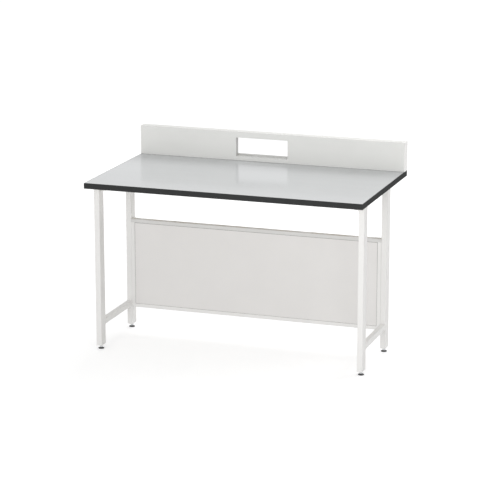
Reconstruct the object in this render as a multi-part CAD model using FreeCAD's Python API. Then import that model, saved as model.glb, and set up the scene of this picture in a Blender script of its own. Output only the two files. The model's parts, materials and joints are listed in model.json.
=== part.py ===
import FreeCAD, Part
import math
import os

# Laboratory bench: a laminate worktop with a low sheet-steel upstand behind it, on a welded
# steel frame with a modesty panel between the rear legs and four levelling feet.
# Millimetres. X is the width (right is +X), Y runs from the front to the back, Z is up.
# The origin is on the floor, under the centre of the outer box.

Vector = FreeCAD.Vector

# ---------------------------------------------------------------- driving dimensions
WIDTH = 1500.0              # worktop, side to side
DEPTH = 850.0               # worktop, front to back
FOOT_HEIGHT = 23.0          # floor to the lower ends of the legs, feet screwed right in
STRUCTURE = 900.0           # lower ends of the legs to the working surface
TOP_THICKNESS = 30.0        # worktop, faces included

LAMINATE = 1.0              # each face of the worktop
BAND = 2.0                  # edge band thickness
BAND_EASE = 1.0             # radius along the band's outer edges

UPSTAND_HEIGHT = 158.0
UPSTAND_DEPTH = 55.0
SHEET = 1.5                 # upstand sheet steel
BEND = 3.0                  # outer radius of the upstand's bends
LIP = 30.0                  # return lips on the upstand's open rear side
CAP = 2.0                   # thickness of the upstand's end caps
CAP_TAB = 15.0              # how far a cap's tabs reach into the upstand
WINDOW_LEFT = -194.0        # service window in the upstand
WINDOW_RIGHT = 99.0
WINDOW_RISE = 22.0          # working surface to the window's lower edge
WINDOW_HEIGHT = 104.0
LINER_DEPTH = 35.5          # window liner, behind the front web

LEG_X = 30.0                # leg tube, across the bench
LEG_Y = 60.0                # leg tube, front to back
LEG_INSET = 16.0            # worktop side to the leg's outer face
FRONT_LEG_SETBACK = 90.0    # worktop front to the front leg's front face
REAR_SPACE = 265.0          # worktop rear to the rear leg's back face
WALL = 2.0                  # wall of the leg, stretcher, arm and rail tubes
TUBE_RADIUS = 3.0           # outer corners of those tubes

SQUARE = 30.0               # stretcher, arm and rail tubes are square
STRETCHER_RISE = 105.0      # lower ends of the legs to the stretcher's underside
ARM_FRONT = 115.0           # worktop front to the arm's front end
ARM_REAR = 30.0             # worktop rear to the arm's rear end
RAIL_CENTRES = {"front": -250.0, "middle": 50.0, "rear": 365.0}     # Y of each rail
PLUG_HEAD = 2.0             # plastic plug in each arm end
PLUG_REACH = 12.0
INSERT_REACH = 20.0         # threaded insert in each rail end
PLAY = 0.1                  # gap between a plug and the tube round it

PANEL_RISE = 100.0          # lower ends of the legs to the panel's underside
PANEL_HEIGHT = 495.0
PANEL_FACE = 20.0           # panel frame tube, seen from the front
PANEL_DEEP = 30.0           # panel frame tube, front to back
PANEL_WALL = 1.5
PANEL_RADIUS = 2.0
TRAY_RECESS = 1.0           # panel frame's front face to the sheet
TRAY_SHEET = 1.2
TRAY_FLANGE = 20.0
TRAY_BEND = 3.0
BRACKET = 3.0               # thickness of the angle brackets behind the panel
BRACKET_HEIGHT = 48.0
BRACKET_LEG_SIDE = 28.0
BRACKET_RAIL_SIDE = 44.0

PAD_RADIUS = 16.0           # levelling feet, M10
PAD_HEIGHT = 8.0
PAD_HUB = 9.5
PAD_FLOOR = 3.0             # solid base under the stud's socket
STUD_RADIUS = 5.0
STUD_FIT = 0.05             # radial clearance in the thread and in the pad's socket
STUD_LENGTH = 68.0          # from the floor at rest to the stud's upper end
COLLAR_FLATS = 15.0         # hexagon that the spanner turns
LOCK_NUT_FLATS = 17.0
LOCK_NUT_HEIGHT = 8.0
FOOT_GAP = 0.2              # collar to pad, and collar to lock nut
FOOT_INSERT_HEIGHT = 18.0

M8_RADIUS = 4.0             # rail bolts
M8_HEAD_RADIUS = 6.5
M8_HEAD = 8.0
M8_SOCKET_FLATS = 6.0
M6_RADIUS = 3.0             # bracket bolts
M6_HEAD_RADIUS = 5.25
M6_HEAD = 3.3
M6_SOCKET_FLATS = 4.0
M6_LENGTH = 12.0
BOLT_HOLE_PLAY = 0.25
THREAD_PLAY = 0.05
WOOD_SCREW_RADIUS = 2.25    # worktop screws, up through the frame
WOOD_SCREW_HEAD_RADIUS = 4.5
WOOD_SCREW_HEAD = 3.0
WOOD_SCREW_BITE = 18.0      # thread in the worktop's core
SHEET_SCREW_RADIUS = 1.75   # upstand screws, down through its floor
SHEET_SCREW_HEAD_RADIUS = 3.5
SHEET_SCREW_HEAD = 2.2
SHEET_SCREW_BITE = 16.0
ACCESS_RADIUS = 6.0         # hole in the lower wall of a tube for the screwdriver
TAPPING_RADIUS = 2.1        # panel and end cap screws
TAPPING_HEAD_RADIUS = 4.0
TAPPING_HEAD = 2.4
TAPPING_LENGTH = 9.0

SCREW_PLAY = 0.1            # radial gap round every screw shank
RECESS_DEPTH_SHARE = 0.6    # depth of a drive recess over the height of its head

# ---------------------------------------------------------------- derived places
HALF = WIDTH / 2
FRONT = -DEPTH / 2
REAR = DEPTH / 2
SURFACE = FOOT_HEIGHT + STRUCTURE
UNDERSIDE = SURFACE - TOP_THICKNESS
UPSTAND_FRONT = REAR - UPSTAND_DEPTH
UPSTAND_TOP = SURFACE + UPSTAND_HEIGHT
WINDOW_LOW = SURFACE + WINDOW_RISE
WINDOW_HIGH = WINDOW_LOW + WINDOW_HEIGHT

LEG_OUTER = HALF - LEG_INSET
LEG_INNER = LEG_OUTER - LEG_X
LEG_MIDDLE = LEG_OUTER - LEG_X / 2
LEG_FRONTS = {"front": FRONT + FRONT_LEG_SETBACK, "rear": REAR - REAR_SPACE - LEG_Y}
LEG_CENTRES = {end: y + LEG_Y / 2 for end, y in LEG_FRONTS.items()}
ARM_INNER = LEG_INNER - SQUARE
ARM_START = FRONT + ARM_FRONT
ARM_END = REAR - ARM_REAR
RAIL_LOW = UNDERSIDE - SQUARE
RAIL_MIDDLE = UNDERSIDE - SQUARE / 2

PANEL_FRONT = LEG_FRONTS["rear"]
PANEL_BACK = PANEL_FRONT + PANEL_DEEP
PANEL_LOW = FOOT_HEIGHT + PANEL_RISE
PANEL_HIGH = PANEL_LOW + PANEL_HEIGHT
TRAY_FRONT = PANEL_FRONT + TRAY_RECESS

SIDES = {"left": -1, "right": 1}
ENDS = ("front", "rear")
LEVELS = ("lower", "upper")
X_AXIS, Y_AXIS, Z_AXIS = Vector(1, 0, 0), Vector(0, 1, 0), Vector(0, 0, 1)

WORKTOP_SCREW_SPOTS = (
    [(side * (ARM_INNER + SQUARE / 2), y) for side in (-1, 1) for y in (-150.0, 150.0, 300.0)]
    + [(x, y) for y in RAIL_CENTRES.values() for x in (-300.0, 300.0)])
UPSTAND_SCREW_XS = [-650.0 + 260.0 * step for step in range(6)]
UPSTAND_SCREW_Y = UPSTAND_FRONT + UPSTAND_DEPTH / 2
TRAY_SCREW_XS = (-600.0, -200.0, 200.0, 600.0)
TRAY_SCREW_ZS = (PANEL_LOW + 150.0, PANEL_HIGH - 150.0)
TRAY_SCREW_Y = TRAY_FRONT + TRAY_FLANGE * 0.6


# ---------------------------------------------------------------- shapes that repeat
def box(x_span, y_span, z_span):
    """A block between two values on each axis, given in any order."""
    low = Vector(min(x_span), min(y_span), min(z_span))
    high = Vector(max(x_span), max(y_span), max(z_span))
    size = high - low
    return Part.makeBox(size.x, size.y, size.z, low)


def cylinder(radius, base, direction, length):
    return Part.makeCylinder(radius, length, base, direction)


def hexagon(flats, base, direction, length):
    """A hexagonal prism; flats is the size across its flats."""
    corner_radius = flats / math.sqrt(3)
    side_axis = X_AXIS if abs(direction.x) < 0.5 else Y_AXIS
    third_axis = direction.cross(side_axis)
    corners = [base + side_axis * (corner_radius * math.cos(math.radians(60 * step)))
               + third_axis * (corner_radius * math.sin(math.radians(60 * step)))
               for step in range(7)]
    return Part.Face(Part.makePolygon(corners)).extrude(direction * length)


def rounded_bar(low, high, run, radius):
    """A solid bar between two corners, along the axis run, its four long edges rounded."""
    size = high - low
    across, up = {"x": (Y_AXIS, Z_AXIS), "y": (Z_AXIS, X_AXIS), "z": (X_AXIS, Y_AXIS)}[run]
    along = across.cross(up)
    width, height, length = size.dot(across), size.dot(up), size.dot(along)
    quarter = radius * (1 - math.sqrt(0.5))

    def point(a, b):
        return low + across * a + up * b

    edges = [
        Part.LineSegment(point(radius, 0), point(width - radius, 0)),
        Part.Arc(point(width - radius, 0), point(width - quarter, quarter), point(width, radius)),
        Part.LineSegment(point(width, radius), point(width, height - radius)),
        Part.Arc(point(width, height - radius), point(width - quarter, height - quarter),
                 point(width - radius, height)),
        Part.LineSegment(point(width - radius, height), point(radius, height)),
        Part.Arc(point(radius, height), point(quarter, height - quarter), point(0, height - radius)),
        Part.LineSegment(point(0, height - radius), point(0, radius)),
        Part.Arc(point(0, radius), point(quarter, quarter), point(radius, 0)),
    ]
    wire = Part.Wire([edge.toShape() for edge in edges])
    return Part.Face(wire).extrude(along * length)


def tube(x_span, y_span, z_span, run, wall, radius):
    """A rectangular tube, open at both ends, with rounded corners inside and out."""
    low = Vector(min(x_span), min(y_span), min(z_span))
    high = Vector(max(x_span), max(y_span), max(z_span))
    along = {"x": X_AXIS, "y": Y_AXIS, "z": Z_AXIS}[run]
    inset = (Vector(1, 1, 1) - along) * wall
    outer = rounded_bar(low, high, run, radius)
    return outer.cut(rounded_bar(low + inset, high - inset, run, radius - wall))


def drilled(shape, holes):
    """The shape less each (radius, start, direction, length) hole."""
    for radius, start, direction, length in holes:
        shape = shape.cut(cylinder(radius, start, direction, length))
    return shape


def headed_screw(seat, direction, radius, length, head_radius, head_height, socket_flats):
    """A screw whose head sits on seat and whose shank runs along direction, with a hexagon socket."""
    shank = cylinder(radius, seat - direction * 0.5, direction, length + 0.5)
    head = cylinder(head_radius, seat - direction * head_height, direction, head_height)
    depth = head_height * RECESS_DEPTH_SHARE
    socket = hexagon(socket_flats, seat - direction * head_height, direction, depth)
    return head.fuse(shank).cut(socket).removeSplitter()


def mirrored(side, x_near, x_far):
    """The X span between two distances from the centre, on the given side."""
    return side * x_near, side * x_far


# ---------------------------------------------------------------- worktop
def worktop():
    """Chipboard core between two laminate faces, with a band on each of the four edges."""
    x_span = (-HALF + BAND, HALF - BAND)
    y_span = (FRONT + BAND, REAR - BAND)
    core_low = UNDERSIDE + LAMINATE
    core_high = SURFACE - LAMINATE
    from_below = [(WOOD_SCREW_RADIUS + SCREW_PLAY, Vector(x, y, UNDERSIDE - 1), Z_AXIS,
                   LAMINATE + WOOD_SCREW_BITE + 2) for x, y in WORKTOP_SCREW_SPOTS]
    from_above = [(SHEET_SCREW_RADIUS + SCREW_PLAY, Vector(x, UPSTAND_SCREW_Y, SURFACE + 1), -Z_AXIS,
                   LAMINATE + SHEET_SCREW_BITE + 2) for x in UPSTAND_SCREW_XS]
    parts = {
        "worktop_core": drilled(box(x_span, y_span, (core_low, core_high)), from_below + from_above),
        "worktop_backing": drilled(box(x_span, y_span, (UNDERSIDE, core_low)), from_below),
        "worktop_laminate": drilled(box(x_span, y_span, (core_high, SURFACE)), from_above),
    }
    for name, y_edge, inward in (("front", FRONT, 1), ("rear", REAR, -1)):
        band = box((-HALF, HALF), (y_edge, y_edge + inward * BAND), (UNDERSIDE, SURFACE))
        parts["edge_band_" + name] = eased(band, 1, y_edge)
    for name, side in SIDES.items():
        band = box(mirrored(side, HALF - BAND, HALF), y_span, (UNDERSIDE, SURFACE))
        parts["edge_band_" + name] = eased(band, 0, side * HALF)
    return parts


def eased(band, axis, outer):
    """The band with the two long edges of its outer face rounded."""
    edges = [edge for edge in band.Edges
             if edge.Length > TOP_THICKNESS * 2
             and all(abs(vertex.Point[axis] - outer) < 0.01 for vertex in edge.Vertexes)]
    return band.makeFillet(BAND_EASE, edges)


# ---------------------------------------------------------------- upstand
def upstand():
    """Folded channel, open to the rear, with a lined service window, end caps and screws."""
    x_span = (-HALF + CAP, HALF - CAP)
    y_span = (UPSTAND_FRONT, REAR)
    z_span = (SURFACE, UPSTAND_TOP)
    shell = tube(x_span, y_span, z_span, "x", SHEET, BEND)
    shell = shell.cut(box((-WIDTH, WIDTH), (REAR - BEND, REAR + 1), (SURFACE + LIP, UPSTAND_TOP - LIP)))
    window = box((WINDOW_LEFT, WINDOW_RIGHT), (UPSTAND_FRONT - 1, UPSTAND_FRONT + SHEET + 1),
                 (WINDOW_LOW, WINDOW_HIGH))
    shell = shell.cut(window)
    floor_hole = SHEET_SCREW_RADIUS + SCREW_PLAY
    shell = drilled(shell, [(floor_hole, Vector(x, UPSTAND_SCREW_Y, SURFACE - 1), Z_AXIS, SHEET + 2)
                            for x in UPSTAND_SCREW_XS])

    liner_back = UPSTAND_FRONT + SHEET + LINER_DEPTH
    liner_span = (UPSTAND_FRONT + SHEET, liner_back)
    liner = box((WINDOW_LEFT - SHEET, WINDOW_RIGHT + SHEET), liner_span,
                (WINDOW_LOW - SHEET, WINDOW_HIGH + SHEET))
    liner = liner.cut(box((WINDOW_LEFT, WINDOW_RIGHT), (UPSTAND_FRONT, liner_back + 1),
                          (WINDOW_LOW, WINDOW_HIGH)))

    screws = [headed_screw(Vector(x, UPSTAND_SCREW_Y, SURFACE + SHEET), -Z_AXIS, SHEET_SCREW_RADIUS,
                           SHEET + LAMINATE + SHEET_SCREW_BITE, SHEET_SCREW_HEAD_RADIUS,
                           SHEET_SCREW_HEAD, SHEET_SCREW_RADIUS)
              for x in UPSTAND_SCREW_XS]
    parts = {"window_liner": liner, "upstand_screws": Part.makeCompound(screws)}

    tab_x = HALF - CAP - CAP_TAB
    tab_levels = {"lower": (SURFACE + SHEET, SURFACE + 2 * SHEET),
                  "upper": (UPSTAND_TOP - 2 * SHEET, UPSTAND_TOP - SHEET)}
    tab_y = (UPSTAND_FRONT + UPSTAND_DEPTH * 0.25, REAR - UPSTAND_DEPTH * 0.25)
    cap_screws = []
    for name, side in SIDES.items():
        plate = rounded_bar(Vector(min(mirrored(side, HALF - CAP, HALF)), UPSTAND_FRONT, SURFACE),
                            Vector(max(mirrored(side, HALF - CAP, HALF)), REAR, UPSTAND_TOP), "x", BEND)
        for z_levels in tab_levels.values():
            plate = plate.fuse(box(mirrored(side, tab_x, HALF - CAP), tab_y, z_levels))
        screw_x = side * (tab_x + CAP_TAB / 2)
        seat = Vector(screw_x, UPSTAND_SCREW_Y, UPSTAND_TOP - 2 * SHEET)
        hole = (TAPPING_RADIUS + SCREW_PLAY, seat - Z_AXIS, Z_AXIS, 2 * SHEET)
        parts["upstand_end_cap_" + name] = drilled(plate.removeSplitter(), [hole])
        cap_screws.append(headed_screw(seat, Z_AXIS, TAPPING_RADIUS, SHEET, TAPPING_HEAD_RADIUS,
                                       TAPPING_HEAD, TAPPING_RADIUS))
    parts["upstand_shell"] = shell
    parts["cap_screws"] = Part.makeCompound(cap_screws)
    return parts


# ---------------------------------------------------------------- welded side frames
def side_frames():
    """Two legs, a low stretcher and a top arm on each side, with plugs in the arm's ends."""
    parts = {}
    for name, side in SIDES.items():
        leg_span = mirrored(side, LEG_INNER, LEG_OUTER)
        for end in ENDS:
            y = LEG_FRONTS[end]
            leg = tube(leg_span, (y, y + LEG_Y), (FOOT_HEIGHT, UNDERSIDE), "z", WALL, TUBE_RADIUS)
            parts[end + "_leg_" + name] = drilled(leg, bracket_bolt_holes() if end == "rear" else [])
        low = FOOT_HEIGHT + STRETCHER_RISE
        parts["stretcher_" + name] = tube(
            leg_span, (LEG_FRONTS["front"] + LEG_Y, LEG_FRONTS["rear"]), (low, low + SQUARE),
            "y", WALL, TUBE_RADIUS)

        arm_span = mirrored(side, ARM_INNER, LEG_INNER)
        arm = tube(arm_span, (ARM_START, ARM_END), (RAIL_LOW, UNDERSIDE), "y", WALL, TUBE_RADIUS)
        bolt_hole = M8_RADIUS + BOLT_HOLE_PLAY
        holes = [(bolt_hole, Vector(side * (LEG_INNER + 1), y, RAIL_MIDDLE), -X_AXIS * side, SQUARE + 2)
                 for y in RAIL_CENTRES.values()]
        parts["arm_" + name] = drilled(arm, holes + screw_holes(arm_span, (ARM_START, ARM_END)))

        for end, mouth, outward in (("front", ARM_START, -1), ("rear", ARM_END, 1)):
            parts["arm_plug_" + end + "_" + name] = arm_plug(arm_span, mouth, outward)
    return parts


def arm_plug(x_span, mouth, outward):
    """A square plastic plug: a head over the tube's end and a body inside it."""
    gap = WALL + PLAY
    inner_x = (min(x_span) + gap, max(x_span) - gap)
    y_head = sorted((mouth, mouth + outward * PLUG_HEAD))
    y_body = sorted((mouth, mouth - outward * PLUG_REACH))
    head = rounded_bar(Vector(min(x_span), y_head[0], RAIL_LOW),
                       Vector(max(x_span), y_head[1], UNDERSIDE), "y", TUBE_RADIUS)
    body = rounded_bar(Vector(inner_x[0], y_body[0], RAIL_LOW + gap),
                       Vector(inner_x[1], y_body[1], UNDERSIDE - gap), "y", TUBE_RADIUS - WALL)
    return head.fuse(body).removeSplitter()


def screw_holes(x_span, y_span):
    """Holes for the worktop screws that fall inside a tube: wide below, close-fitting above."""
    holes = []
    for x, y in WORKTOP_SCREW_SPOTS:
        if min(x_span) < x < max(x_span) and min(y_span) < y < max(y_span):
            holes.append((ACCESS_RADIUS, Vector(x, y, RAIL_LOW - 1), Z_AXIS, WALL + 2))
            holes.append((WOOD_SCREW_RADIUS + SCREW_PLAY, Vector(x, y, UNDERSIDE - WALL - 1),
                          Z_AXIS, WALL + 2))
    return holes


# ---------------------------------------------------------------- rails between the side frames
def rails():
    """Three rails under the worktop, bolted through the arms into inserts in their ends."""
    parts = {}
    inserts, bolts = [], []
    gap = WALL + PLAY
    for name, centre in RAIL_CENTRES.items():
        y_span = (centre - SQUARE / 2, centre + SQUARE / 2)
        x_span = (-ARM_INNER, ARM_INNER)
        rail = tube(x_span, y_span, (RAIL_LOW, UNDERSIDE), "x", WALL, TUBE_RADIUS)
        parts["rail_" + name] = drilled(rail, screw_holes(x_span, y_span))
        for side in SIDES.values():
            ends = sorted(mirrored(side, ARM_INNER - INSERT_REACH, ARM_INNER))
            insert = rounded_bar(Vector(ends[0], y_span[0] + gap, RAIL_LOW + gap),
                                 Vector(ends[1], y_span[1] - gap, UNDERSIDE - gap), "x",
                                 TUBE_RADIUS - WALL)
            bore_start = Vector(side * (ARM_INNER + 1), centre, RAIL_MIDDLE)
            inserts.append(drilled(insert, [(M8_RADIUS + THREAD_PLAY, bore_start, -X_AXIS * side,
                                             INSERT_REACH + 2)]))
            seat = Vector(side * LEG_INNER, centre, RAIL_MIDDLE)
            bolts.append(headed_screw(seat, -X_AXIS * side, M8_RADIUS, SQUARE + INSERT_REACH,
                                      M8_HEAD_RADIUS, M8_HEAD, M8_SOCKET_FLATS))
    parts["rail_inserts"] = Part.makeCompound(inserts)
    parts["rail_bolts"] = Part.makeCompound(bolts)
    parts["worktop_screws"] = Part.makeCompound([
        headed_screw(Vector(x, y, UNDERSIDE - WALL), Z_AXIS, WOOD_SCREW_RADIUS,
                     WALL + LAMINATE + WOOD_SCREW_BITE, WOOD_SCREW_HEAD_RADIUS, WOOD_SCREW_HEAD,
                     WOOD_SCREW_RADIUS)
        for x, y in WORKTOP_SCREW_SPOTS])
    return parts


# ---------------------------------------------------------------- modesty panel
def bracket_span(level):
    """The Z span of the brackets at the panel's lower or upper corners."""
    if level == "lower":
        return PANEL_LOW, PANEL_LOW + BRACKET_HEIGHT
    return PANEL_HIGH - BRACKET_HEIGHT, PANEL_HIGH


def bracket_bolt_seats(side):
    """Where each bracket bolt's head sits on its bracket, and which way its shank points."""
    seats = []
    for level in LEVELS:
        low, high = bracket_span(level)
        leg_y = PANEL_BACK + (BRACKET + BRACKET_LEG_SIDE) / 2
        seats.append((Vector(side * (LEG_INNER - BRACKET), leg_y, (low + high) / 2), X_AXIS * side))
        rail_z = PANEL_LOW + PANEL_FACE / 2 if level == "lower" else PANEL_HIGH - PANEL_FACE / 2
        rail_x = LEG_INNER - BRACKET_RAIL_SIDE + M6_HEAD_RADIUS * 2
        seats.append((Vector(side * rail_x, PANEL_BACK + BRACKET, rail_z), -Y_AXIS))
    return seats


def bracket_bolt_holes():
    """The holes that the bracket bolts need in a bracket and in the tube wall behind it."""
    return [(M6_RADIUS + BOLT_HOLE_PLAY, seat - direction, direction, 1 + BRACKET + WALL + 1)
            for side in SIDES.values() for seat, direction in bracket_bolt_seats(side)]


def panel():
    """A tube frame between the rear legs, a sheet tray almost flush in it, brackets and fasteners."""
    parts = {}
    y_span = (PANEL_FRONT, PANEL_BACK)
    for name, z_span in (("bottom", (PANEL_LOW, PANEL_LOW + PANEL_FACE)),
                         ("top", (PANEL_HIGH - PANEL_FACE, PANEL_HIGH))):
        rail = tube((-LEG_INNER, LEG_INNER), y_span, z_span, "x", PANEL_WALL, PANEL_RADIUS)
        parts["panel_rail_" + name] = drilled(rail, bracket_bolt_holes() + tray_screw_holes())
    inner_low = PANEL_LOW + PANEL_FACE
    inner_high = PANEL_HIGH - PANEL_FACE
    inner_x = LEG_INNER - PANEL_FACE
    for name, side in SIDES.items():
        stile = tube(mirrored(side, inner_x, LEG_INNER), y_span, (inner_low, inner_high), "z",
                     PANEL_WALL, PANEL_RADIUS)
        parts["panel_stile_" + name] = drilled(stile, tray_screw_holes())

    tray_span = (TRAY_FRONT, TRAY_FRONT + TRAY_FLANGE)
    tray = box((-inner_x, inner_x), tray_span, (inner_low, inner_high))
    front_edges = [edge for edge in tray.Edges
                   if all(abs(vertex.Y - TRAY_FRONT) < 0.01 for vertex in edge.Vertexes)]
    tray = tray.makeFillet(TRAY_BEND, front_edges)
    tray = tray.cut(box((-inner_x + TRAY_SHEET, inner_x - TRAY_SHEET),
                        (TRAY_FRONT + TRAY_SHEET, tray_span[1] + 1),
                        (inner_low + TRAY_SHEET, inner_high - TRAY_SHEET)))
    parts["panel_tray"] = drilled(tray, tray_screw_holes())
    parts["panel_screws"] = Part.makeCompound([
        headed_screw(seat, direction, TAPPING_RADIUS, TAPPING_LENGTH, TAPPING_HEAD_RADIUS,
                     TAPPING_HEAD, TAPPING_RADIUS)
        for seat, direction in tray_screw_seats()])

    for side_name, side in SIDES.items():
        for level in LEVELS:
            parts["panel_bracket_" + level + "_" + side_name] = bracket(side, level)
    parts["panel_bolts"] = Part.makeCompound([
        headed_screw(seat, direction, M6_RADIUS, M6_LENGTH, M6_HEAD_RADIUS, M6_HEAD, M6_SOCKET_FLATS)
        for side in SIDES.values() for seat, direction in bracket_bolt_seats(side)])
    return parts


def bracket(side, level):
    """An angle in the corner behind the panel: one side on the leg, the other on the frame."""
    z_span = bracket_span(level)
    on_leg = box(mirrored(side, LEG_INNER - BRACKET, LEG_INNER),
                 (PANEL_BACK, PANEL_BACK + BRACKET_LEG_SIDE), z_span)
    on_rail = box(mirrored(side, LEG_INNER - BRACKET_RAIL_SIDE, LEG_INNER),
                  (PANEL_BACK, PANEL_BACK + BRACKET), z_span)
    return drilled(on_leg.fuse(on_rail).removeSplitter(), bracket_bolt_holes())


def tray_screw_seats():
    """Where each tray screw's head sits on the inside of a flange, and which way it points."""
    low = PANEL_LOW + PANEL_FACE + TRAY_SHEET
    high = PANEL_HIGH - PANEL_FACE - TRAY_SHEET
    inner = LEG_INNER - PANEL_FACE - TRAY_SHEET
    seats = [(Vector(x, TRAY_SCREW_Y, low), -Z_AXIS) for x in TRAY_SCREW_XS]
    seats += [(Vector(x, TRAY_SCREW_Y, high), Z_AXIS) for x in TRAY_SCREW_XS]
    seats += [(Vector(side * inner, TRAY_SCREW_Y, z), X_AXIS * side)
              for side in SIDES.values() for z in TRAY_SCREW_ZS]
    return seats


def tray_screw_holes():
    return [(TAPPING_RADIUS + SCREW_PLAY, seat - direction, direction,
             1 + TRAY_SHEET + PANEL_WALL + 1) for seat, direction in tray_screw_seats()]


# ---------------------------------------------------------------- levelling feet
def feet():
    """For each leg: a threaded insert, a lock nut, a stud with a spanner collar, and a pad."""
    parts = {}
    for side_name, side in SIDES.items():
        for end in ENDS:
            place = end + "_" + side_name
            centre = Vector(side * LEG_MIDDLE, LEG_CENTRES[end], 0)
            parts["foot_insert_" + place] = foot_insert(centre)
            parts["lock_nut_" + place] = lock_nut(centre)
            parts["foot_stud_" + place] = foot_stud(centre)
            parts["foot_pad_" + place] = foot_pad(centre)
    return parts


def foot_insert(centre):
    """A plug inside the leg's lower end, with the thread that the stud runs in."""
    half_x = LEG_X / 2 - WALL - PLAY
    half_y = LEG_Y / 2 - WALL - PLAY
    plug = rounded_bar(centre + Vector(-half_x, -half_y, FOOT_HEIGHT),
                       centre + Vector(half_x, half_y, FOOT_HEIGHT + FOOT_INSERT_HEIGHT), "z",
                       TUBE_RADIUS - WALL)
    return drilled(plug, [(STUD_RADIUS + STUD_FIT, centre, Z_AXIS, STUD_LENGTH)])


def lock_nut(centre):
    nut = hexagon(LOCK_NUT_FLATS, centre + Z_AXIS * (FOOT_HEIGHT - LOCK_NUT_HEIGHT), Z_AXIS,
                  LOCK_NUT_HEIGHT)
    return drilled(nut, [(STUD_RADIUS + STUD_FIT, centre, Z_AXIS, STUD_LENGTH)])


def foot_stud(centre):
    """A stud whose lower end turns in the pad, with a hexagonal collar above the pad."""
    collar_low = PAD_HEIGHT + FOOT_GAP
    collar_high = FOOT_HEIGHT - LOCK_NUT_HEIGHT - FOOT_GAP
    collar = hexagon(COLLAR_FLATS, centre + Z_AXIS * collar_low, Z_AXIS, collar_high - collar_low)
    stud_low = PAD_FLOOR + FOOT_GAP
    stud = cylinder(STUD_RADIUS, centre + Z_AXIS * stud_low, Z_AXIS, STUD_LENGTH - stud_low)
    tip = [edge for edge in stud.Edges if edge.BoundBox.ZMin > STUD_LENGTH - 1]
    return stud.makeChamfer(1.0, tip).fuse(collar).removeSplitter()


def foot_pad(centre):
    """A round base with a sloping top up to a hub, and a blind socket for the stud."""
    outline = [(0, 0), (PAD_RADIUS - 1, 0), (PAD_RADIUS, 1), (PAD_RADIUS, 4),
               (PAD_HUB + 1, PAD_HEIGHT - 1.5), (PAD_HUB, PAD_HEIGHT), (0, PAD_HEIGHT), (0, 0)]
    profile = Part.makePolygon([Vector(r, 0, z) for r, z in outline])
    pad = Part.Face(profile).revolve(Vector(0, 0, 0), Z_AXIS, 360)
    pad.translate(centre)
    return drilled(pad, [(STUD_RADIUS + STUD_FIT, centre + Z_AXIS * PAD_FLOOR, Z_AXIS, PAD_HEIGHT)])


# ---------------------------------------------------------------- all the parts
def main():
    os.makedirs("parts", exist_ok=True)
    parts = {}
    for section in (worktop, upstand, side_frames, rails, panel, feet):
        parts.update(section())
    for name, shape in sorted(parts.items()):
        if not shape.isValid():
            raise ValueError(name + " is not a valid shape")
        shape.exportStep(os.path.join("parts", name + ".step"))
        bounds = shape.BoundBox
        print(f"{name:30s} solids {len(shape.Solids)}  volume {shape.Volume / 1000:9.1f} cm3  "
              f"z {bounds.ZMin:7.1f} to {bounds.ZMax:7.1f}")
    print(len(parts), "parts")


main()
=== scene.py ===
import json
import math

import bpy
import numpy as np
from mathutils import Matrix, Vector

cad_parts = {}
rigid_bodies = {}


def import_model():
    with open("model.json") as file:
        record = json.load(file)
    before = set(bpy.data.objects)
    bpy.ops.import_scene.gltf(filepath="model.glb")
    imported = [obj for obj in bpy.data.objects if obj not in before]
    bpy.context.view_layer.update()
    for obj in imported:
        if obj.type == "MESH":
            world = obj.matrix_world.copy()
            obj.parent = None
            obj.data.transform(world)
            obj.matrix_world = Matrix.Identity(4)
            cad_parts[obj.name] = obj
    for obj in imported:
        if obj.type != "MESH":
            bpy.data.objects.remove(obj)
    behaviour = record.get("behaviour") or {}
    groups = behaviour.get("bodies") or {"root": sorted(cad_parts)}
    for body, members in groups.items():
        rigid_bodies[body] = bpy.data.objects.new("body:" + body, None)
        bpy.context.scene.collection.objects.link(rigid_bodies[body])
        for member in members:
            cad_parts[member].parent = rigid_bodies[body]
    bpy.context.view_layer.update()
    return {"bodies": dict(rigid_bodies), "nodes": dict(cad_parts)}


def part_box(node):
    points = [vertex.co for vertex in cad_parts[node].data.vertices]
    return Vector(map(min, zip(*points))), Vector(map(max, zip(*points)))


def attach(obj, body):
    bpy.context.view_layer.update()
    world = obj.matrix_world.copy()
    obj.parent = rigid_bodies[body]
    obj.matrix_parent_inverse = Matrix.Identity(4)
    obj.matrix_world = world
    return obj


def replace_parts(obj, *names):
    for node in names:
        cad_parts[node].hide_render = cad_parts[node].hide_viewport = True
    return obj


# Laboratory bench on a powder-coated tube frame. Metres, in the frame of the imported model:
# X to the right, Y to the back, Z up, origin on the floor under the middle of the outer box.

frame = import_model()
MM = 0.001

# ---------------------------------------------------------------- driving dimensions
STUD_RADIUS = 5.0 * MM           # levelling studs, M10
THREAD_PITCH = 1.5 * MM
THREAD_DEPTH = 0.9 * MM
THREAD_START = 15.2 * MM         # just above the spanner collar
THREAD_END = 66.0 * MM
COLLAR_FLATS = 15.0 * MM
COLLAR_LOW = 8.2 * MM
COLLAR_HIGH = 14.8 * MM
EDGE_BREAK = 0.9 * MM            # chamfer on nuts and collars
FOOT_RIBS = 12                   # shallow ribs on the slope of a foot pad
HUB_RADIUS = 9.5 * MM            # raised middle of a foot pad
HUB_DROP = 1.2 * MM              # how far the hub stays under the top of the pad's solid
SOCKET_PLAY = 0.05 * MM          # stud in the pad's socket and in the nut's thread
SOCKET_FLOOR = 3.0 * MM          # height of the socket's floor
KNURLS = 48                      # round the head of a cap screw

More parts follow.
